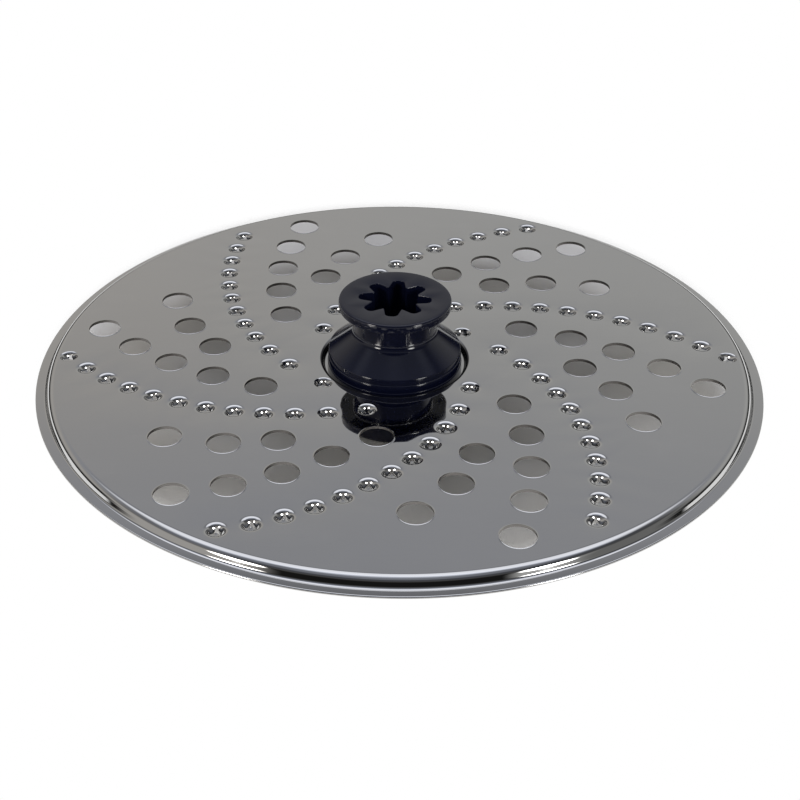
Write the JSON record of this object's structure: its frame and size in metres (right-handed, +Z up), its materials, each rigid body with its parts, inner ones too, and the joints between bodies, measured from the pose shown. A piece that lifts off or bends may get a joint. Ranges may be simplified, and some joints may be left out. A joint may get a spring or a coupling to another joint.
{
  "type": "food processor grating disc",
  "caption": "Round steel grating disc with a stepped rim, curved rows of punched holes and torn burrs, and a moulded hub with a star socket for the drive shaft",
  "frame": {"origin": "on the axis, at the foot of the knob that the disc stands on", "axes": "+Z is up along the axis towards the star socket; -Y is the side nearest the viewer in the picture"},
  "size_m": [0.178, 0.178, 0.0334],
  "materials": {
    "steel": "polished",
    "hub_plastic": "gloss",
    "cap_plastic": "gloss"
  },
  "bodies": {
    "root": {"grating_plate": "steel", "drive_hub": "hub_plastic", "hub_cap": "cap_plastic"}
  },
  "joints": []
}
